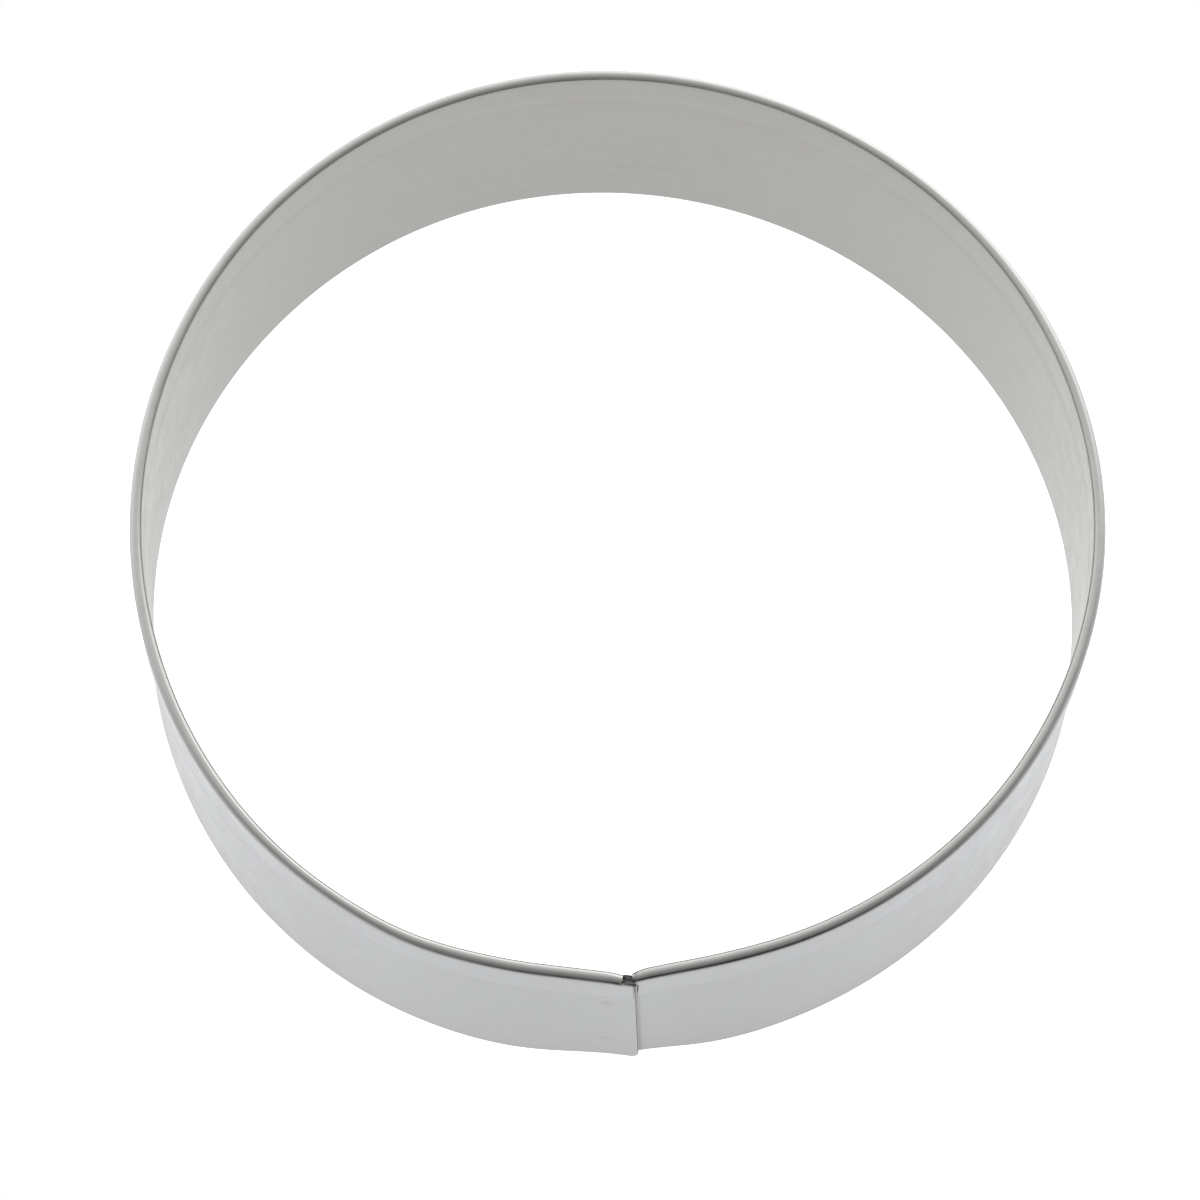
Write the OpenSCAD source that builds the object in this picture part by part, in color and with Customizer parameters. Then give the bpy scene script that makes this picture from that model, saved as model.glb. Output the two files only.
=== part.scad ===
// Round biscuit cutter: one strip of tinplate, its upper margin folded outwards into a hem,
// bent round into a ring, lapped at its ends and held closed by two spot welds.
// Millimetres. The ring stands on its cutting edge at z = 0 and its seam faces -Y.

/* [Ring] */
// Diameter across the outside of the cutting edge
ring_d = 88.9; // [50:0.1:140]
// Depth from the cutting edge to the top of the rim
band_h = 25.4; // [20:0.1:60]
// Thickness of the tinplate
sheet_t = 0.36; // [0.2:0.01:0.6]

/* [Folded rim] */
// Height of the hem, from the top of the rim down to the raw edge of its leaf
hem_h = 4.9; // [3:0.1:7]
// Inner radius of the fold at the top of the rim
fold_inner_r = 0.18; // [0.02:0.01:0.4]
// How far the sheet turns in that fold, in degrees
fold_turn = 150; // [130:1:165]
// Inner radius of the slacker bow between the fold and the flat of the leaf
bow_inner_r = 0.8; // [0.5:0.01:3]
// Lean of the leaf towards the wall, in degrees
leaf_lean = 2; // [0:0.1:3]
// How far the crease carries the wall outwards under the hem
crease_step = 0.12; // [0.04:0.01:0.3]
// Height of the crease, from the lower wall to the hem
crease_h = 2.4; // [1:0.1:4]
// Drop from the top of the rim to the middle of the crease
crease_drop = 4.8; // [4.5:0.1:8]

/* [Seam] */
// How far each end of the strip is left unrolled before the seam, in degrees of the ring
flat_turn = 9; // [6:0.5:12]
// Length of the inner tab, from the corner of the seam
lap_l = 6.8; // [5:0.1:10]
// Space between the two leaves of the lap
lap_gap = 0.08; // [0.02:0.01:0.3]
// Inner radius of the bend at the corner of the seam
corner_r = 0.5; // [0.3:0.1:4]
// How far the outer end runs past the corner, at the cutting edge
end_over = 0.9; // [0:0.1:1.5]
// Lean of the outer end's cut, from the cutting edge back to the rim, in degrees
end_lean = 2; // [0:0.1:4]
// Radius of the outer end's lower corner
end_corner_r = 1; // [0.3:0.1:3]
// Length of the bend relief in the fold at the outer end
relief_l = 1.2; // [0.3:0.1:2.5]
// Depth of the bend relief, below the top of the rim
relief_depth = 0.8; // [0.4:0.1:1.5]
// Clearance between the outer end and the end of the inner strip's hem
hem_gap = 0.1; // [0.05:0.01:0.5]
// Drop from the top of the rim to the tab's upper edge, at the corner
tab_drop = 2; // [0.8:0.1:2.5]
// Distance from the corner over which the tab's upper edge stays level
tab_level_l = 1.5; // [1:0.1:3]
// Slope of the clip that takes off the rest of the tab's upper edge, in degrees
tab_clip = 45; // [20:1:60]

/* [Spot welds] */
// Diameter of a weld nugget
weld_d = 2.4; // [1.5:0.1:3.5]
// Clearance between the bend at the corner and the edge of a weld
weld_clear = 1; // [0.5:0.1:2]
// Height of the lower weld above the cutting edge
weld_low_z = 5.5; // [3:0.1:7]
// Drop from the top of the rim to the upper weld
weld_high_drop = 9; // [8.5:0.1:10]
// Diameter of the dimple that the electrode leaves
dimple_d = 1.9; // [0.8:0.1:2.1]
// Depth of the dimple
dimple_depth = 0.06; // [0.02:0.01:0.08]

/* [Hidden] */

// Facets of the ring and of the welds, and steps of the section's bends
ring_fn = 144;
weld_fn = 48;
crease_steps = 3;
fold_steps = 10;
bow_steps = 4;
corner_steps = 6;
// How far a cutting solid reaches past what it cuts, and how far like solids run into each other
past = 1;
joint_overlap = 0.002;
overlap_l = 0.5;
// How much longer than finished the outer run is before its end is cut
trim_l = 0.1;

// Plan of the ring: one arc with a straight run off each end. The outer run's line and the inner
// run's line meet below the middle of the ring; the inner run turns into its tab before that, where
// it crosses a line one lap step inside the outer run.
ring_r = ring_d / 2;
lap_step = sheet_t + lap_gap;
seam_turn = 2 * flat_turn;
// Bearings of the two straight runs, square to their walls
outer_facing = -90 - flat_turn;
inner_facing = -90 + flat_turn;

// Corner of the seam, measured along each straight run from where the arc ends
meeting_l = ring_r * tan(flat_turn);
inner_corner_l = meeting_l - lap_step / sin(seam_turn);
outer_corner_l = meeting_l + lap_step / tan(seam_turn);
corner_outer_r = corner_r + sheet_t;
bend_l = corner_outer_r * tan(flat_turn);
corner_start_l = inner_corner_l - bend_l;

// Section of the strip: x outwards from the lower wall's outer face, y upwards from the cutting edge
half_t = sheet_t / 2;
crease_low_z = band_h - crease_drop - crease_h / 2;
crease_high_z = band_h - crease_drop + crease_h / 2;
crease_turn = 2 * atan(crease_step / crease_h);
crease_mid_r = crease_h / (2 * sin(crease_turn));
crease_low_c = [crease_mid_r - half_t, crease_low_z];
crease_high_c = [crease_step - half_t - crease_mid_r, crease_high_z];
fold_mid_r = fold_inner_r + half_t;
fold_end = 180 - fold_turn;
fold_c = [crease_step + fold_inner_r, band_h - fold_mid_r - half_t];
bow_mid_r = bow_inner_r + half_t;
bow_c = fold_c - (bow_mid_r - fold_mid_r) * [cos(fold_end), sin(fold_end)];
leaf_end_z = band_h - hem_h;

// The inner strip's hem starts clear of the bend and of the outer end, which reaches furthest past
// the corner at the hem's raw edge
end_reach_l = (end_over - leaf_end_z * tan(end_lean)) * cos(seam_turn) - lap_gap * sin(seam_turn);
hem_end_l = inner_corner_l - max(bend_l, end_reach_l) - hem_gap;

// Heights and places along the lap
relief_z = band_h - relief_depth;
tab_top_z = band_h - tab_drop;
weld_high_z = band_h - weld_high_drop;
weld_along = outer_corner_l - bend_l - weld_clear - weld_d / 2;
dimple_r = (pow(dimple_d / 2, 2) + pow(dimple_depth, 2)) / (2 * dimple_depth);

// Points of an arc, from one bearing to another
function arc(centre, r, from, to, steps) = [
    for (i = [0 : steps])
        let (bearing = from + (to - from) * i / steps)
            centre + r * [cos(bearing), sin(bearing)]
];

function backwards(points) = [for (i = [len(points) - 1 : -1 : 0]) points[i]];

// One face of the wall, up to the top of the crease. face is 1 for the outside and -1 for the inside.
function wall_face(face) = concat(
    [[(face - 1) * half_t, 0]],
    arc(crease_low_c, crease_mid_r - face * half_t, 180, 180 - crease_turn, crease_steps),
    arc(crease_high_c, crease_mid_r + face * half_t, -crease_turn, 0, crease_steps)
);

// The same face carried on round the hem: fold, slacker bow and flat leaf
function hem_face(face) =
    let (
        fold = arc(fold_c, fold_mid_r - face * half_t, 180, fold_end, fold_steps),
        bow = arc(bow_c, bow_mid_r - face * half_t, fold_end, -leaf_lean, bow_steps),
        leaf_top = bow[bow_steps],
        leaf_in = (leaf_top[1] - leaf_end_z) * tan(leaf_lean)
    )
        concat(fold, [for (i = [1 : bow_steps]) bow[i]], [[leaf_top[0] - leaf_in, leaf_end_z]]);

// Section of the strip: wall and hem
module strip_section() {
    function side(face) = concat(wall_face(face), hem_face(face));
    polygon(concat(side(-1), backwards(side(1))));
}

// Frame of a straight run: x outwards, y along the wall from where the arc ends
module on_run(facing) {
    rotate([0, 0, facing])
        children();
}

// Sweep of the strip along a straight run, between two places on it
module straight_strip(from, to) {
    rotate([90, 0, 0])
        translate([ring_r, 0, -to])
            linear_extrude(height = to - from)
                strip_section();
}

// Prism square to a straight run's wall, from an outline drawn along the run and upwards
module through_run(near_r, far_r) {
    rotate([90, 0, 90])
        translate([0, 0, near_r])
            linear_extrude(height = far_r - near_r)
                children();
}

// Everything past the outer end's leaning cut, with the rounded lower corner and the bend relief
module outer_end_waste() {
    end_l = outer_corner_l + end_over;
    rim_l = end_l - band_h * tan(end_lean);
    round_c = [end_l - end_corner_r * (tan(end_lean) + 1 / cos(end_lean)), end_corner_r];
    far_l = end_l + 2 * trim_l;
    polygon(concat(
        [[round_c[0] - past, -past], [round_c[0] - past, 0]],
        arc(round_c, end_corner_r, -90, end_lean, corner_steps),
        [[rim_l, band_h], [rim_l, band_h + past], [far_l, band_h + past], [far_l, -past]]
    ));
    translate([rim_l - relief_l, relief_z])
        square([far_l - rim_l + relief_l, relief_depth + past]);
}

// The rolled arc and the outer straight run, whose end is trimmed
module ring_and_outer_run() {
    on_run(outer_facing)
        difference() {
            union() {
                rotate_extrude(start = seam_turn, angle = 360 - seam_turn, $fn = ring_fn)
                    translate([ring_r, 0])
                        strip_section();
                straight_strip(0, outer_corner_l + end_over + trim_l);
            }
            through_run(ring_r - sheet_t - past, ring_r + sheet_t + 3 * past)
                outer_end_waste();
        }
}

// Plan of the inner end: the last of its straight wall, the bend at the corner and the tab
module inner_end_plan() {
    bend_c = [-corner_outer_r, -corner_start_l];
    tab_l = lap_l - bend_l;
    tab_run = tab_l * [-sin(seam_turn), -cos(seam_turn)];
    outside = arc(bend_c, corner_outer_r, 0, -seam_turn, corner_steps);
    inside = arc(bend_c, corner_r, 0, -seam_turn, corner_steps);
    polygon(concat(
        [[0, overlap_l - hem_end_l]],
        outside,
        [outside[corner_steps] + tab_run, inside[corner_steps] + tab_run],
        backwards(inside),
        [[-sheet_t, overlap_l - hem_end_l]]
    ));
}

// Everything above the tab's upper edge, which is level at the corner and then clipped
module tab_waste() {
    clip_l = outer_corner_l - tab_level_l;
    end_l = outer_corner_l - lap_l - past;
    polygon([
        [clip_l, tab_top_z],
        [clip_l, band_h + past],
        [end_l, band_h + past],
        [end_l, tab_top_z - (clip_l - end_l) * tan(tab_clip)]
    ]);
}

// The inner straight run, whose hem stops short of the corner, and the tab
module inner_run() {
    on_run(inner_facing)
        straight_strip(-hem_end_l, joint_overlap);
    difference() {
        on_run(inner_facing)
            translate([ring_r, 0, 0])
                linear_extrude(height = tab_top_z)
                    inner_end_plan();
        on_run(outer_facing)
            through_run(ring_r - lap_step - sheet_t - past, ring_r - lap_step + past)
                tab_waste();
    }
}

// Cylinder through both leaves of the lap at a weld, run past each face by a margin
module weld_cylinder(height_z, margin) {
    on_run(outer_facing)
        translate([ring_r - lap_step - sheet_t - margin, weld_along, height_z])
            rotate([0, 90, 0])
                cylinder(d = weld_d, h = lap_step + sheet_t + 2 * margin, $fn = weld_fn);
}

// The formed strip, pierced where the weld nuggets take its place
module cutter_band() {
    color("silver")
        difference() {
            union() {
                ring_and_outer_run();
                inner_run();
            }
            for (height_z = [weld_low_z, weld_high_z])
                weld_cylinder(height_z, past / 2);
        }
}

// Nugget of a spot weld: flush with both leaves and dimpled by the electrodes
module spot_weld(height_z) {
    dimple_back = dimple_r - dimple_depth;
    color("darkgray")
        difference() {
            weld_cylinder(height_z, 0);
            on_run(outer_facing)
                for (face_r = [ring_r + dimple_back, ring_r - lap_step - sheet_t - dimple_back])
                    translate([face_r, weld_along, height_z])
                        sphere(r = dimple_r, $fn = 4 * weld_fn);
        }
}

module spot_weld_upper() {
    spot_weld(weld_high_z);
}

module spot_weld_lower() {
    spot_weld(weld_low_z);
}

cutter_band();
spot_weld_upper();
spot_weld_lower();
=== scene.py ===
from math import atan, atan2, cos, degrees, exp, pi, radians, sin, tan

import bmesh
import bpy
from bmesh.types import BMEdge, BMFace, BMVert
from mathutils import Matrix, Vector


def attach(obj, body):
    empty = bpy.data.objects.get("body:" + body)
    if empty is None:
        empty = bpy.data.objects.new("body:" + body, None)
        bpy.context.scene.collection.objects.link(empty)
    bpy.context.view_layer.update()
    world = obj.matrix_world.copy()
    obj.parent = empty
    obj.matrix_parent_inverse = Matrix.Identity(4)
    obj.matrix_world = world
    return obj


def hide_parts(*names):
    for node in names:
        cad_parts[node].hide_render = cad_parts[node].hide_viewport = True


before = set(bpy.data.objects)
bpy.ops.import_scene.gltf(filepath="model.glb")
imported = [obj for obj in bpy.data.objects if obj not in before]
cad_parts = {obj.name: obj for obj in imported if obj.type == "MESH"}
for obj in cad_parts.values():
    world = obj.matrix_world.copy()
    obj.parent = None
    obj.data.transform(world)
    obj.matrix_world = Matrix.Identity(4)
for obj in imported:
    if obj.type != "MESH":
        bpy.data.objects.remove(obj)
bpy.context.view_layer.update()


# Formed band
# One strip of tinplate, 0.36 mm thick. Its upper margin is folded outwards into a hem, it is rolled
# into a ring with two flat ends, and the inner end is bent in behind the outer one as a tab.
# Its sizes are in millimetres until the finished mesh is scaled to metres.
mm = 0.001
ring_r, band_h = 44.45, 25.4
sheet_t = 0.36
half_t = sheet_t / 2
lap_gap = 0.08
lap_step = sheet_t + lap_gap

# The flat ends face to either side of the seam. Lengths along them start where the arc stops, and
# the corner is where the inner end turns parallel to the outer one, a step behind it.
flat_turn = 9
seam_turn = 2 * flat_turn
outer_facing = radians(-90 - flat_turn)
inner_facing = radians(-90 + flat_turn)
meeting_l = ring_r * tan(radians(flat_turn))
inner_corner_l = meeting_l - lap_step / sin(radians(seam_turn))
outer_corner_l = meeting_l + lap_step / tan(radians(seam_turn))

band = bmesh.new()


def only(kind, geom):
    """The vertices, the edges or the faces among what an operator gives back."""
    return [g for g in geom if isinstance(g, kind)]


def fold_straight(tip, step, cuts):
    """Carries the section straight on from its tip, and gives back the new tip."""
    for _ in range(cuts):
        tip = bmesh.ops.extrude_vert_indiv(band, verts=[tip])["verts"][0]
        bmesh.ops.translate(band, vec=Vector(step) / cuts, verts=[tip])
    return tip


def fold_round(tip, centre, turn, cuts):
    """Carries the section round a centre from its tip, and gives back the new tip."""
    bend = bmesh.ops.spin(band, geom=[tip], cent=centre, axis=(0, 1, 0), angle=turn, steps=cuts)
    return only(BMVert, bend["geom_last"])[0]


# The middle of the sheet in section, from the cutting edge up: wall, crease, fold, bow, leaf
crease_step, crease_h, crease_drop = 0.12, 2.4, 4.8
crease_turn = 2 * atan(crease_step / crease_h)
crease_r = crease_h / (2 * sin(crease_turn))
crease_low_z = band_h - crease_drop - crease_h / 2
wall_x = ring_r - half_t
fold_inside_r, bow_inside_r = 0.18, 0.8
fold_r, bow_r = fold_inside_r + half_t, bow_inside_r + half_t
fold_turn, leaf_lean = radians(150), radians(2)
hem_h = 4.9
fold_c = Vector((wall_x + crease_step + fold_r, 0, band_h - fold_r - half_t))
bow_c = fold_c - (bow_r - fold_r) * Vector((cos(pi - fold_turn), 0, sin(pi - fold_turn)))

tip = band.verts.new((wall_x, 0, 0))
tip = fold_straight(tip, (0, 0, crease_low_z), cuts=12)
tip = fold_round(tip, (wall_x + crease_r, 0, crease_low_z), crease_turn, cuts=5)
tip = fold_round(tip, (wall_x + crease_step - crease_r, 0, crease_low_z + crease_h), -crease_turn, cuts=5)
tip = fold_straight(tip, (0, 0, fold_c.z - tip.co.z), cuts=3)
tip = fold_round(tip, fold_c, fold_turn, cuts=16)
tip = fold_round(tip, bow_c, pi - fold_turn + leaf_lean, cuts=8)
leaf_l = (tip.co.z - (band_h - hem_h)) / cos(leaf_lean)
fold_straight(tip, (-leaf_l * sin(leaf_lean), 0, -leaf_l * cos(leaf_lean)), cuts=4)

# The rolled arc, swept from the inner flat end round to the outer one
arc_steps = 228
bmesh.ops.rotate(band, cent=(0, 0, 0), matrix=Matrix.Rotation(inner_facing, 3, "Z"), verts=band.verts)
inner_edges = list(band.edges)
arc = bmesh.ops.spin(band, geom=band.verts[:] + band.edges[:], cent=(0, 0, 0), axis=(0, 0, 1),
                     angle=radians(360 - seam_turn), steps=arc_steps)
outer_edges = only(BMEdge, arc["geom_last"])


def run_on(edges, along, length, cuts):
    """Carries an open end of the strip straight on, and gives back its new end and its new faces."""
    faces = []
    for _ in range(cuts):
        grown = bmesh.ops.extrude_edge_only(band, edges=edges)["geom"]
        verts = only(BMVert, grown)
        edges = [e for e in only(BMEdge, grown) if all(v in verts for v in e.verts)]
        faces += only(BMFace, grown)
        bmesh.ops.translate(band, vec=along * (length / cuts), verts=verts)
    return edges, faces


def facing_axes(facing):
    """The directions out of a flat end and along it, anticlockwise as seen from above."""
    return Vector((cos(facing), sin(facing), 0)), Vector((-sin(facing), cos(facing), 0))


outer_out, outer_along = facing_axes(outer_facing)
inner_out, inner_along = facing_axes(inner_facing)

# The outer end: a leaning cut, a rounded lower corner, and a bend relief in the fold, whose floor
# slopes down towards the wall
end_over, end_corner_r, end_spare = 0.9, 1, 0.4
end_lean, corner_cuts = 2, 12
relief_l, relief_depth, relief_off, relief_slope = 1.05, 0.25, 0.74, radians(35)
lean = radians(end_lean)
end_l = outer_corner_l + end_over
rim_l = end_l - band_h * tan(lean)
corner_c_l = end_l - end_corner_r * (tan(lean) + 1 / cos(lean))
_, outer_run = run_on(outer_edges, outer_along, end_l + end_spare, cuts=18)


def run_point(along_l, height):
    """A point on the outer face of the outer flat end."""
    return outer_out * ring_r + outer_along * along_l + Vector((0, 0, height))


def cut_run(faces, at, normal, clear):
    """Cuts through the given faces of the strip, and takes off what lies past the cut if asked."""
    geom = list({g for f in faces for g in (f, *f.edges, *f.verts)})
    kept = bmesh.ops.bisect_plane(band, geom=geom, plane_co=at, plane_no=normal,
                                  dist=1e-5, clear_outer=clear)["geom"]
    return only(BMFace, kept)


end_normal = outer_along * cos(lean) + Vector((0, 0, sin(lean)))
outer_run = cut_run(outer_run, run_point(end_l, 0), end_normal, clear=True)
for step in range(1, corner_cuts):
    slant = radians(-90 + step * (90 + end_lean) / corner_cuts)
    corner_normal = outer_along * cos(slant) + Vector((0, 0, sin(slant)))
    corner_at = run_point(corner_c_l, end_corner_r) + corner_normal * end_corner_r
    outer_run = cut_run(outer_run, corner_at, corner_normal, clear=True)
relief_at = run_point(rim_l - relief_l, band_h - relief_depth) + outer_out * relief_off
relief_up = Vector((0, 0, cos(relief_slope))) - outer_out * sin(relief_slope)
for normal in (relief_up, outer_along):
    outer_run = cut_run(outer_run, relief_at, normal, clear=False)
in_relief = [f for f in outer_run
             if all((f.calc_center_median() - relief_at).dot(n) > 0 for n in (relief_up, outer_along))]
bmesh.ops.delete(band, geom=in_relief, context="FACES")

# The inner end: the hem stops short of the outer end, and the wall alone goes round the corner as
# the clipped tab
corner_inside_r, hem_gap, lap_l = 0.5, 0.1, 6.8
tab_drop, tab_level_l, tab_clip = 3, 1.5, radians(45)
corner_r = corner_inside_r + half_t
bend_l = (corner_r + half_t) * tan(radians(flat_turn))
corner_start_l = inner_corner_l - bend_l
end_reach_l = ((end_over - (band_h - hem_h) * tan(lean)) * cos(radians(seam_turn))
               - lap_gap * sin(radians(seam_turn)))
hem_end_l = inner_corner_l - max(bend_l, end_reach_l) - hem_gap
tab_edges, _ = run_on(inner_edges, -inner_along, hem_end_l, cuts=14)

# A point that is closer than this to a cut or to a fold counts as lying on it
near = 0.01


def on_wall(vert):
    """Whether a point lies on the wall, below the fold."""
    return vert.co.dot(inner_out) < wall_x + crease_step + near and vert.co.z < fold_c.z + near


tab_edges = [e for e in tab_edges if all(on_wall(v) for v in e.verts)]
hemmed = set(band.faces)
tab_edges, _ = run_on(tab_edges, -inner_along, corner_start_l - hem_end_l, cuts=1)
tab_verts = list({v for e in tab_edges for v in e.verts})
for vert in tab_verts:
    vert.co -= inner_out * (vert.co.dot(inner_out) - wall_x)
bend_c = inner_out * (wall_x - corner_r) - inner_along * corner_start_l
corner = bmesh.ops.spin(band, geom=tab_edges + tab_verts, cent=bend_c, axis=(0, 0, 1),
                        angle=radians(-seam_turn), steps=6)
run_on(only(BMEdge, corner["geom_last"]), -outer_along, lap_l - bend_l, cuts=12)
tab = [f for f in band.faces if f not in hemmed]
tab = cut_run(tab, Vector((0, 0, band_h - tab_drop)), Vector((0, 0, 1)), clear=True)
clip_normal = Vector((0, 0, cos(tab_clip))) - outer_along * sin(tab_clip)
cut_run(tab, run_point(outer_corner_l - tab_level_l, band_h - tab_drop), clip_normal, clear=True)

# The shears have pressed the fold down at their cuts, and the wall side of it outwards
pressed_h, fold_span = 1.8, 0.9
pressed_from_z = band_h - pressed_h


def press_fold(vert, from_cut, reach, outwards, out_by, down_by):
    """Presses a point of the fold within reach of a cut, most at the cut and at the rim."""
    off_wall = vert.co.dot(outwards) - wall_x
    rise = (vert.co.z - pressed_from_z) / pressed_h
    if -near < from_cut < reach and rise > 0:
        share = (1 - from_cut / reach) ** 2 * rise
        vert.co += outwards * (out_by * share * max(0, 1 - off_wall / fold_span))
        vert.co.z -= down_by * share


# On the near side, the leaf of the outer end stands square, and the top of the inner hem runs on a
# little past its cut
leaf_off, square_foot, square_by = 0.35, 0.02, 0.15
hem_reach, hem_on_l, hem_on_drop, hem_on_h = 1.2, 0.45, 1, 0.36
for vert in [v for v in band.verts if v.co.y < 0]:
    from_hem_end = vert.co.dot(inner_along) + hem_end_l
    from_outer_end = end_l - vert.co.z * tan(lean) - vert.co.dot(outer_along)
    if abs(from_outer_end) < near and vert.co.dot(outer_out) - wall_x > leaf_off:
        vert.co += outer_along * (square_foot + square_by * (vert.co.z - band_h + hem_h) / hem_h)
    press_fold(vert, (relief_at - vert.co).dot(outer_along), reach=1.6,
               outwards=outer_out, out_by=0.15, down_by=0.3)
    if -near < from_hem_end < hem_reach:
        top_share = max(0, min(1, (vert.co.z - band_h + hem_on_drop) / hem_on_h))
        press_fold(vert, from_hem_end, hem_reach, outwards=inner_out, out_by=0.35, down_by=0.35)
        vert.co -= inner_along * (hem_on_l * (1 - from_hem_end / hem_reach) * top_share)

# Rolling left the ring slightly out of round. It swells or shrinks by these shares of its radius:
# in waves twice and three times round, and in places, each with its bearing and its spread in
# degrees, its swell at the rim and its swell at the cutting edge. The seam is the last of them.
# Over one stretch the hem is pressed tighter.
mean_swell = -0.0018
waves = ((2, -0.0010, 0.0037), (3, 0.0062, -0.0019))
uneven_places = ((-46, 22, 0.0035, 0.004), (-77, 9, -0.0045, 0), (-132, 25, 0.003, 0),
                 (165, 22, 0, 0.006), (-115, 7, 0.005, 0), (-89, 8.5, 0, -0.0135))
tight_bearing, tight_spread, tight_by = -126, 17, 0.25

# The ring stands a little off centre, and its cutting edge is shifted against its rim. Its height
# is eased by a few microns, to stay within the CAD model's.
off_centre, edge_shift = Vector((-0.29, -0.06, 0)), Vector((0.2, -0.24, 0))
edge_lift, height_share = 0.004, 0.9996


def close_to(bearing, middle, spread):
    """A share that is 1 in the middle of a place on the ring, and falls off on both sides."""
    return exp(-(((degrees(bearing) - middle + 180) % 360 - 180) / spread) ** 2)


def rolled(co):
    """Where a point of the true ring ends up on this one."""
    bearing = atan2(co.y, co.x)
    rim_share = co.z / band_h
    swell = mean_swell
    for times, by_cos, by_sin in waves:
        swell += by_cos * cos(times * bearing) + by_sin * sin(times * bearing)
    for middle, spread, rim_swell, edge_swell in uneven_places:
        swell += close_to(bearing, middle, spread) * (rim_swell * rim_share + edge_swell * (1 - rim_share))
    # Where the hem is tight, its wall side stands further out
    wall_share = max(0, min(1, 1 - (co.xy.length - wall_x) / fold_span))
    rise = max(0, (co.z - pressed_from_z) / pressed_h)
    swell += tight_by / ring_r * close_to(bearing, tight_bearing, tight_spread) * rise * wall_share
    swollen = Vector((co.x * (1 + swell), co.y * (1 + swell), edge_lift + height_share * co.z))
    return swollen + off_centre + edge_shift * (1 - rim_share)


def place_object(name, shape):
    """Turns a finished shape into an object of the scene, with its place in its mesh."""
    mesh = bpy.data.meshes.new(name)
    shape.to_mesh(mesh)
    shape.free()
    made = bpy.data.objects.new(name, mesh)
    bpy.context.scene.collection.objects.link(made)
    return made


def roll_object(name, shape):
    """Takes a shape along with the ring as it was rolled, and makes it an object in metres."""
    for vert in shape.verts:
        vert.co = rolled(vert.co)
    bmesh.ops.recalc_face_normals(shape, faces=shape.faces)
    bmesh.ops.scale(shape, vec=(mm, mm, mm), verts=shape.verts)
    return place_object(name, shape)


formed_band = roll_object("formed_band", band)
formed_band.data.shade_smooth()
thickness = formed_band.modifiers.new("sheet", "SOLIDIFY")
thickness.thickness = sheet_t * mm
thickness.offset = 0
thickness.use_even_offset = True
thickness.use_quality_normals = True
thickness.material_offset_rim = 1

# Holes through both leaves, which the weld nuggets fill
weld_d, weld_clear, weld_steps, drill_l = 2.4, 1, 44, 3
weld_drop, weld_rise = 9, 5.5
weld_heights = {"spot_weld_upper": band_h - weld_drop, "spot_weld_lower": weld_rise}
weld_l = outer_corner_l - bend_l - weld_clear - weld_d / 2
weld_turn = Matrix.Rotation(outer_facing, 4, "Z") @ Matrix.Rotation(radians(90), 4, "Y")


def weld_frame(height):
    """Frame of a weld in millimetres: its middle between the outer faces of the lap, z outwards."""
    at = run_point(weld_l, height) - outer_out * (lap_step + sheet_t) / 2
    return Matrix.Translation(at) @ weld_turn


drill = bmesh.new()
for height in weld_heights.values():
    bmesh.ops.create_cone(drill, cap_ends=True, segments=weld_steps, radius1=weld_d / 2,
                          radius2=weld_d / 2, depth=drill_l, matrix=weld_frame(height))
drill_bit = roll_object("weld_holes", drill)
holes = formed_band.modifiers.new("weld_holes", "BOOLEAN")
holes.object = drill_bit
holes.solver = "EXACT"
dulled = formed_band.modifiers.new("edges", "BEVEL")
dulled.width = 0.03 * mm
dulled.segments = 2
dulled.limit_method = "ANGLE"
dulled.angle_limit = radians(60)
dulled.harden_normals = True

# Rolled tinplate: a cloudy mottle, the faint grain of the rolls along the strip, and fine scratches, with
# painted light on top: a painted highlight along the crease and painted shade beside the lap
rolled_tin = bpy.data.node_groups.new("rolled_tin", "ShaderNodeTree")
for socket, default in (("Cloud Size", 0.0024), ("Grain", 1.0), ("Scratches", 1.0), ("Wear", 1.0)):
    made = rolled_tin.interface.new_socket(socket, in_out="INPUT", socket_type="NodeSocketFloat")
    made.default_value = default
for socket in ("Tone", "Dullness", "Relief"):
    rolled_tin.interface.new_socket(socket, in_out="OUTPUT", socket_type="NodeSocketFloat")


def plug(tree, socket, given):
    """Sets a socket from a number, a vector or a colour, or from the output of another node."""
    if isinstance(given, bpy.types.NodeSocket):
        tree.links.new(given, socket)
    elif given is not None:
        socket.default_value = given


def value_node(tree, operation, first, second=None, third=None, clamp=False):
    """Adds a Math node to a node tree, and gives back its output."""
    node = tree.nodes.new("ShaderNodeMath")
    node.operation = operation
    node.use_clamp = clamp
    for socket, given in zip(node.inputs, (first, second, third)):
        plug(tree, socket, given)
    return node.outputs[0]


def vector_node(tree, operation, first, second=None):
    """Adds a Vector Math node, and gives back its output: a number for a length or a dot product."""
    node = tree.nodes.new("ShaderNodeVectorMath")
    node.operation = operation
    plug(tree, node.inputs[0], first)
    plug(tree, node.inputs[1], second)
    return node.outputs["Value" if operation in ("LENGTH", "DOT_PRODUCT") else "Vector"]


def range_node(tree, value, start, end, share_at_start, share_at_end, curve="SMOOTHSTEP"):
    """Adds a Map Range node: one share up to the start of a range, another one past its end."""
    node = tree.nodes.new("ShaderNodeMapRange")
    node.interpolation_type = curve
    for socket, given in zip(("Value", "From Min", "From Max", "To Min", "To Max"),
                             (value, start, end, share_at_start, share_at_end)):
        plug(tree, node.inputs[socket], given)
    return node.outputs[0]


def noise_node(tree, vector, scale, detail, roughness):
    """Adds a Noise Texture node, and gives back its level."""
    node = tree.nodes.new("ShaderNodeTexNoise")
    for socket, given in (("Vector", vector), ("Scale", scale), ("Detail", detail),
                          ("Roughness", roughness)):
        plug(tree, node.inputs[socket], given)
    return node.outputs["Fac"]


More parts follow.
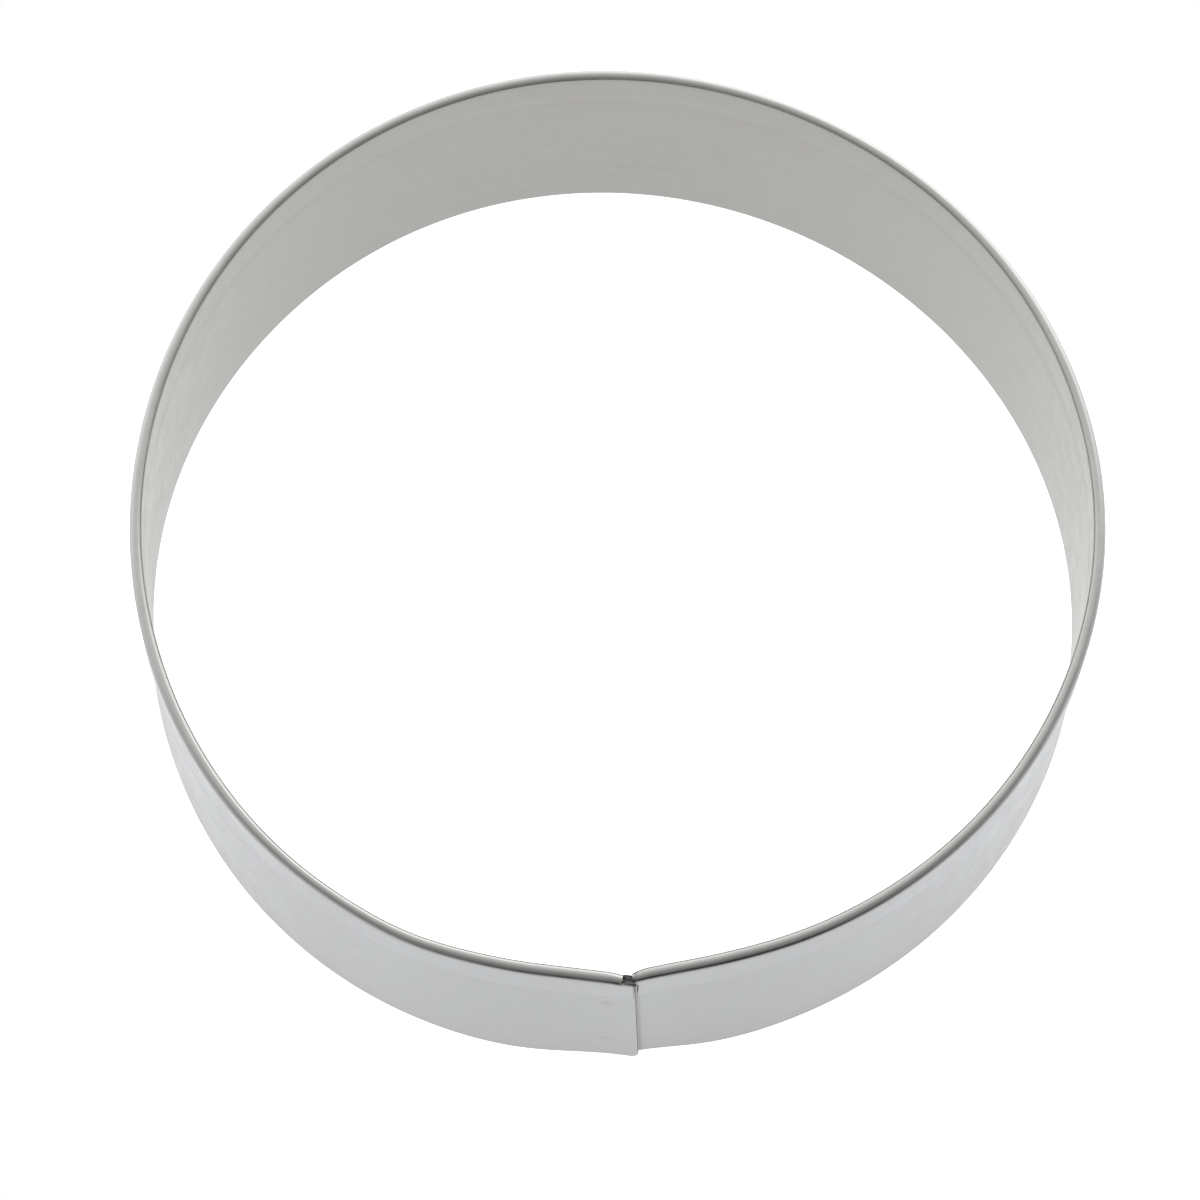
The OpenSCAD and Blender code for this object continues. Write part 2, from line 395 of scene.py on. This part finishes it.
tin_in = rolled_tin.nodes.new("NodeGroupInput").outputs
tin_out = rolled_tin.nodes.new("NodeGroupOutput").inputs
place = rolled_tin.nodes.new("ShaderNodeTexCoord").outputs["Object"]
cloud_scale = value_node(rolled_tin, "DIVIDE", 1.0, tin_in["Cloud Size"])
clouds = noise_node(rolled_tin, place, cloud_scale, detail=4, roughness=0.62)
drift = noise_node(rolled_tin, place, scale=90, detail=2, roughness=0.5)
drift_share, cloudy_mean = 0.5, 0.75
cloudy = value_node(rolled_tin, "MULTIPLY_ADD", drift, drift_share, clouds)
cloudy = value_node(rolled_tin, "SUBTRACT", cloudy, cloudy_mean)

# Lengths along the strip and up it, with the break in the pattern at the outer end
seam_bearing = radians(2.6)
turned = rolled_tin.nodes.new("ShaderNodeMapping")
turned.inputs["Rotation"].default_value = (0, 0, -seam_bearing)
plug(rolled_tin, turned.inputs["Vector"], place)
split = rolled_tin.nodes.new("ShaderNodeSeparateXYZ")
plug(rolled_tin, split.inputs[0], turned.outputs[0])
round_turn = value_node(rolled_tin, "ARCTAN2", split.outputs["X"], split.outputs["Y"])
unrolled = rolled_tin.nodes.new("ShaderNodeCombineXYZ")
plug(rolled_tin, unrolled.inputs["X"], value_node(rolled_tin, "MULTIPLY", round_turn, ring_r * mm))
plug(rolled_tin, unrolled.inputs["Y"], split.outputs["Z"])


def streaks(turn, length, width, detail):
    """Noise drawn out along the strip, or across it at an angle."""
    slanted = rolled_tin.nodes.new("ShaderNodeVectorRotate")
    slanted.rotation_type = "Z_AXIS"
    slanted.inputs["Angle"].default_value = radians(turn)
    plug(rolled_tin, slanted.inputs["Vector"], unrolled.outputs[0])
    drawn = rolled_tin.nodes.new("ShaderNodeMapping")
    drawn.inputs["Scale"].default_value = (1 / length, 1 / width, 1)
    plug(rolled_tin, drawn.inputs["Vector"], slanted.outputs[0])
    return noise_node(rolled_tin, drawn.outputs[0], scale=1, detail=detail, roughness=0.6)


def scratches(turn, length, width, sparse):
    """The few highest crests of drawn-out noise."""
    crests = streaks(turn, length, width, detail=1)
    return value_node(rolled_tin, "SUBTRACT", crests, sparse, clamp=True)


def fading(distance, reach, share):
    """A share that falls smoothly to nothing over a reach of a distance."""
    return range_node(rolled_tin, distance, 0, reach, share, 0)


grain_mean, scratch_gain = 0.5, 9.0
grain = streaks(turn=0, length=0.012, width=0.00012, detail=3)
grain = value_node(rolled_tin, "SUBTRACT", grain, grain_mean)
grain = value_node(rolled_tin, "MULTIPLY", grain, tin_in["Grain"])
marks = value_node(rolled_tin, "ADD",
                   scratches(turn=24, length=0.006, width=0.00006, sparse=0.71),
                   scratches(turn=-63, length=0.004, width=0.00005, sparse=0.72))
marks = value_node(rolled_tin, "MULTIPLY", marks, scratch_gain, clamp=True)
marks = value_node(rolled_tin, "MULTIPLY", marks, tin_in["Scratches"])

# A painted highlight brightens the wall a little along the crease
highlight_rise, highlight_off, highlight_reach = 0.3, 0.3, 0.7 * crease_h
highlight_z = band_h - crease_drop + highlight_rise
from_crease = value_node(rolled_tin, "SUBTRACT", split.outputs["Z"], highlight_z * mm)
from_crease = value_node(rolled_tin, "ABSOLUTE", from_crease)
in_plan = rolled_tin.nodes.new("ShaderNodeCombineXYZ")
plug(rolled_tin, in_plan.inputs["X"], split.outputs["X"])
plug(rolled_tin, in_plan.inputs["Y"], split.outputs["Y"])
from_axis = vector_node(rolled_tin, "LENGTH", in_plan.outputs[0])
crease_highlight = value_node(rolled_tin, "MULTIPLY",
                    value_node(rolled_tin, "LESS_THAN", from_axis, (ring_r + highlight_off) * mm),
                    fading(from_crease, highlight_reach * mm, share=0.06))

# Painted shade darkens the inner strip beside the edge of the lap, dark close to it and faint further off,
# and only on the near side of the ring
near_side, edge_back = 30, 0.02
lap_foot, lap_head = rolled(run_point(end_l, 0)) * mm, rolled(run_point(rim_l, band_h)) * mm
lap_edge = (lap_head - lap_foot).normalized()
past_lap = (outer_along - lap_edge * outer_along.dot(lap_edge)).normalized()
from_lap = value_node(rolled_tin, "SUBTRACT", vector_node(rolled_tin, "DOT_PRODUCT", place, past_lap),
                      past_lap.dot(lap_foot) - edge_back * mm)
towards_seam = vector_node(rolled_tin, "DOT_PRODUCT", place, outer_out)
on_strip = value_node(rolled_tin, "MULTIPLY",
                      value_node(rolled_tin, "GREATER_THAN", from_lap, 0.0),
                      value_node(rolled_tin, "GREATER_THAN", towards_seam, near_side * mm))
lap_shade = value_node(rolled_tin, "ADD",
                  fading(from_lap, reach=0.45 * mm, share=0.36),
                  fading(from_lap, reach=1.2 * mm, share=0.06))
# The painted highlight less the painted shade, scaled by the group's input for painted light
painted_light = value_node(rolled_tin, "SUBTRACT", crease_highlight, value_node(rolled_tin, "MULTIPLY", lap_shade, on_strip))
painted_light = value_node(rolled_tin, "MULTIPLY_ADD", painted_light, tin_in["Wear"], 1.0)


def blend(start, *parts):
    """Adds parts of the pattern to a start, each by its share."""
    for part, share in parts:
        start = value_node(rolled_tin, "MULTIPLY_ADD", part, share, start)
    return start


plug(rolled_tin, tin_out["Tone"], blend(painted_light, (cloudy, 0.2), (grain, 0.1), (marks, -0.05)))
plug(rolled_tin, tin_out["Dullness"], blend(0.0, (marks, 0.1), (cloudy, 0.25)))
plug(rolled_tin, tin_out["Relief"], blend(clouds, (grain, 0.5), (marks, -0.6)))


def tin_surface(name, colour, roughness, relief, **settings):
    """Makes a metal whose colour, roughness and relief all follow the rolled tin's pattern."""
    material = bpy.data.materials.new(name)
    material.use_nodes = True
    tree = material.node_tree
    metal = tree.nodes["Principled BSDF"]
    metal.inputs["Metallic"].default_value = 1
    pattern = tree.nodes.new("ShaderNodeGroup")
    pattern.node_tree = rolled_tin
    for socket, given in settings.items():
        pattern.inputs[socket.replace("_", " ")].default_value = given
    toned = tree.nodes.new("ShaderNodeVectorMath")
    toned.operation = "SCALE"
    toned.inputs[0].default_value = colour
    plug(tree, toned.inputs["Scale"], pattern.outputs["Tone"])
    plug(tree, metal.inputs["Base Color"], toned.outputs[0])
    plug(tree, metal.inputs["Roughness"], value_node(tree, "ADD", pattern.outputs["Dullness"], roughness))
    bump = tree.nodes.new("ShaderNodeBump")
    bump.inputs["Strength"].default_value = 1
    bump.inputs["Distance"].default_value = relief
    plug(tree, bump.inputs["Height"], pattern.outputs["Relief"])
    plug(tree, metal.inputs["Normal"], bump.outputs[0])
    return material


tinplate = tin_surface("tinplate", (0.4, 0.395, 0.382), roughness=0.25, relief=0.000004, Scratches=0.35)

# Sheared edges show the bare steel, duller than the tin and torn across by the shear. Their very dark
# colour is partly the steel's own and partly painted shade, for cut edges that lie in shadow in the notch
# of the hem and along the seam.
sheared_edge = tin_surface("sheared_edge", (0.085, 0.084, 0.082), roughness=0.45, relief=0.00002,
                           Cloud_Size=0.0003, Grain=0.2, Scratches=0.0, Wear=0.0)
formed_band.data.materials.append(tinplate)
formed_band.data.materials.append(sheared_edge)
bpy.context.view_layer.update()
as_made = formed_band.evaluated_get(bpy.context.evaluated_depsgraph_get())
finished = bpy.data.meshes.new_from_object(as_made)
formed_band.modifiers.clear()
formed_band.data = finished
bpy.data.objects.remove(drill_bit)

# The shear has drawn the tin over the cut end of the inner hem
tinned_reach, facing_share = 0.8, 0.5
hem_end_at = rolled(inner_out * ring_r - inner_along * hem_end_l + Vector((0, 0, band_h))) * mm
for face in finished.polygons:
    from_end = abs((face.center - hem_end_at).dot(inner_along))
    faces_gap = -face.normal.dot(inner_along) > facing_share
    if faces_gap and from_end < tinned_reach * mm and face.center.z > (band_h - hem_h) * mm:
        face.material_index = 0
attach(formed_band, "root")
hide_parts("cutter_band")


# Spot welds
# Two nuggets of sheet melted together through both leaves of the lap. The electrodes leave each a
# shallow round dimple inside and out, where the tin has gone dull.
dimple_r, dimple_depth, dimple_steps = 0.95, 0.06, 10
nugget_half = (lap_step + sheet_t) / 2
scorched = tin_surface("weld", (0.395, 0.388, 0.373), roughness=0.27, relief=0.000005,
                       Cloud_Size=0.0006, Grain=0.5, Scratches=0.2, Wear=0.0)
dish = [(dimple_r * step / dimple_steps,
         nugget_half - dimple_depth * (1 + cos(pi * step / dimple_steps)) / 2)
        for step in range(dimple_steps + 1)]
profile = dish + [(weld_d / 2, nugget_half), (weld_d / 2, -nugget_half)]
profile += [(radius, -depth) for radius, depth in reversed(dish)]
for name, height in weld_heights.items():
    nugget = bmesh.new()
    tip = nugget.verts.new((profile[0][0], 0, profile[0][1]))
    for radius, depth in profile[1:]:
        tip = bmesh.ops.extrude_vert_indiv(nugget, verts=[tip])["verts"][0]
        tip.co = (radius, 0, depth)
    bmesh.ops.spin(nugget, geom=nugget.verts[:] + nugget.edges[:], cent=(0, 0, 0), axis=(0, 0, 1),
                   angle=radians(360), steps=weld_steps, use_merge=True)
    bmesh.ops.remove_doubles(nugget, verts=nugget.verts, dist=0.0005)
    bmesh.ops.transform(nugget, matrix=weld_frame(height), verts=nugget.verts)
    weld = roll_object(name.replace("spot_weld", "weld_nugget"), nugget)
    weld.data.shade_smooth()
    weld.data.set_sharp_from_angle(angle=radians(50))
    weld.data.materials.append(scorched)
    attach(weld, "root")
    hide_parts(name)


# Floor
# A round of pale paper under the cutter, which keeps its soft shadow and shows white to the camera.
# The metal sees it glow with painted light: warm and less bright inside the ring, a painted shadow of the
# cutter, and cool and bright round it, fading off on the near side alone.
floor_r = 0.08
disc = bmesh.new()
bmesh.ops.create_circle(disc, cap_ends=True, segments=96, radius=floor_r)
floor = place_object("floor", disc)
paper = bpy.data.materials.new("paper")
paper.use_nodes = True
tree = paper.node_tree
tree.nodes.clear()
white = tree.nodes.new("ShaderNodeBsdfDiffuse")
white.inputs["Color"].default_value = (0.84, 0.845, 0.85, 1)
path = tree.nodes.new("ShaderNodeLightPath")
floor_at = tree.nodes.new("ShaderNodeTexCoord").outputs["Object"]
floor_split = tree.nodes.new("ShaderNodeSeparateXYZ")
plug(tree, floor_split.inputs[0], floor_at)


def set_stops(ramp, stops):
    """Gives a colour ramp its colours, each with its place from 0 to 1."""
    for at, colour in stops:
        stop = ramp.elements[0] if at == 0 else ramp.elements[-1] if at == 1 else ramp.elements.new(at)
        stop.color = (*colour, 1)


# The ramp lies over the distance from the middle, which stops short on the far side, where the
# paper stays bright
ramp_l, far_l, near_y, far_y = 0.1, 0.054, -0.03, 0.02
furthest = range_node(tree, floor_split.outputs["Y"], near_y, far_y, ramp_l, far_l)
from_middle = value_node(tree, "MINIMUM", vector_node(tree, "LENGTH", floor_at), furthest)
warm, cool = Vector((1, 0.995, 0.97)), Vector((0.96, 0.985, 1.03))
shade = tree.nodes.new("ShaderNodeValToRGB")
shade.color_ramp.interpolation = "B_SPLINE"
set_stops(shade.color_ramp, (
    (0, 0.66 * warm), (0.24, 0.7 * warm), (0.34, 0.83 * warm), (0.43, 0.83 * warm), (0.47, 0.95 * cool),
    (0.56, 0.93 * cool), (0.68, 0.8 * cool), (0.8, 0.35 * cool), (1, 0.25 * cool)))
plug(tree, shade.inputs["Fac"], value_node(tree, "MULTIPLY", from_middle, 1 / ramp_l))

# Its light grows very slightly to the right
middle_glow, glow_growth, glossy_share, camera_glow = 1.36, 0.1, 0.7, 0.9
in_metal = tree.nodes.new("ShaderNodeEmission")
plug(tree, in_metal.inputs["Color"], shade.outputs[0])
plug(tree, in_metal.inputs["Strength"],
     value_node(tree, "MULTIPLY_ADD", floor_split.outputs["X"], glow_growth, middle_glow))
as_seen = tree.nodes.new("ShaderNodeMixShader")
plug(tree, as_seen.inputs[0], value_node(tree, "MULTIPLY", path.outputs["Is Glossy Ray"], glossy_share))
plug(tree, as_seen.inputs[1], white.outputs[0])
plug(tree, as_seen.inputs[2], in_metal.outputs[0])
to_camera = tree.nodes.new("ShaderNodeEmission")
to_camera.inputs["Color"].default_value = (0.985, 0.99, 1, 1)
plug(tree, to_camera.inputs["Strength"],
     value_node(tree, "MULTIPLY", path.outputs["Is Camera Ray"], camera_glow))
glowing = tree.nodes.new("ShaderNodeAddShader")
plug(tree, glowing.inputs[0], as_seen.outputs[0])
plug(tree, glowing.inputs[1], to_camera.outputs[0])
paper_out = tree.nodes.new("ShaderNodeOutputMaterial")
plug(tree, paper_out.inputs["Surface"], glowing.outputs[0])
floor.data.materials.append(paper)


# Light
# A soft lamp overhead lights the paper, and the metal doesn't mirror it. The pale studio all round
# darkens towards the room in front of the paper. A card behind it on the right and a low glow at
# the back brighten the metal's far side. To the camera, the studio is white.
lamp_data = bpy.data.lights.new("soft_lamp", "AREA")
lamp_data.shape = "SQUARE"
lamp_data.size = 0.5
lamp_data.energy = 1.6
lamp = bpy.data.objects.new("soft_lamp", lamp_data)
bpy.context.scene.collection.objects.link(lamp)
lamp_at = Vector((-0.1, 0, 0.55))
lamp.matrix_world = Matrix.Translation(lamp_at) @ lamp_at.to_track_quat("Z", "Y").to_matrix().to_4x4()
lamp.visible_glossy = False
world = bpy.data.worlds.new("studio")
bpy.context.scene.world = world
world.use_nodes = True
tree = world.node_tree
tree.nodes.clear()
direction = tree.nodes.new("ShaderNodeTexCoord").outputs["Generated"]


def towards(x, y, z):
    """How far a direction of the surround leans towards the given one, from -1 to 1."""
    return vector_node(tree, "DOT_PRODUCT", direction, Vector((x, y, z)).normalized())


studio_tint = Vector((0.985, 0.99, 1))
studio = tree.nodes.new("ShaderNodeValToRGB")
towards_room = value_node(tree, "ADD", towards(0.25, -0.85, -0.45), 1.0)
plug(tree, studio.inputs["Fac"], value_node(tree, "MULTIPLY", towards_room, 0.5))
set_stops(studio.color_ramp, [(at, level * studio_tint) for at, level in (
    (0, 0.96), (0.137, 0.96), (0.274, 0.79), (0.425, 0.6), (0.6, 0.43), (0.76, 0.375), (0.86, 0.31),
    (0.91, 0.23), (0.96, 0.09), (1, 0.033))])
card_from, card_level = 0.75, 0.65
card = range_node(tree, towards(0.5, 0.8, 0.35), card_from, 1, 0, card_level)
glow_from, glow_to, glow_level = -0.3, 0.6, 0.58
glow = range_node(tree, towards(0, 0.75, -0.66), glow_from, glow_to, 0, glow_level, curve="LINEAR")
sky = tree.nodes.new("ShaderNodeBackground")
plug(tree, sky.inputs["Color"],
     vector_node(tree, "ADD", studio.outputs[0], value_node(tree, "ADD", card, glow)))
sky.inputs["Strength"].default_value = 1.2
backdrop = tree.nodes.new("ShaderNodeBackground")
backdrop.inputs["Color"].default_value = (1, 1, 1, 1)
surround = tree.nodes.new("ShaderNodeMixShader")
plug(tree, surround.inputs[0], tree.nodes.new("ShaderNodeLightPath").outputs["Is Camera Ray"])
plug(tree, surround.inputs[1], sky.outputs[0])
plug(tree, surround.inputs[2], backdrop.outputs[0])
world_out = tree.nodes.new("ShaderNodeOutputWorld")
plug(tree, world_out.inputs["Surface"], surround.outputs[0])


# Camera
# It stands where the photograph was taken from: steeply above the seam, a little to its left, with
# a long lens and a slight roll. Its distance and its aim are shares of the ring's radius.
photo_px, focal_px, sensor_w = 1200, 7002.9, 36
tilt, swing, roll = radians(68.927), radians(-93.6), radians(3.460)
camera_away, aim_right, aim_off = 15.129, -0.02118, 0.02242
back = Vector((cos(tilt) * cos(swing), cos(tilt) * sin(swing), sin(tilt)))
level_right = Vector((-sin(swing), cos(swing), 0))
level_up = back.cross(level_right)
right = level_right * cos(roll) + level_up * sin(roll)
up = level_up * cos(roll) - level_right * sin(roll)
aim = (level_right * aim_right - Vector((cos(swing), sin(swing), 0)) * aim_off) * ring_r * mm
aim += off_centre * mm
camera_data = bpy.data.cameras.new("camera")
camera_data.lens = sensor_w * focal_px / photo_px
camera_data.sensor_width = sensor_w
camera_data.clip_end = 10
camera = bpy.data.objects.new("camera", camera_data)
bpy.context.scene.collection.objects.link(camera)
camera_turn = Matrix((right, up, back)).transposed().to_4x4()
camera.matrix_world = Matrix.Translation(aim + back * (camera_away * ring_r * mm)) @ camera_turn
bpy.context.scene.camera = camera
bpy.context.scene.view_settings.view_transform = "Standard"
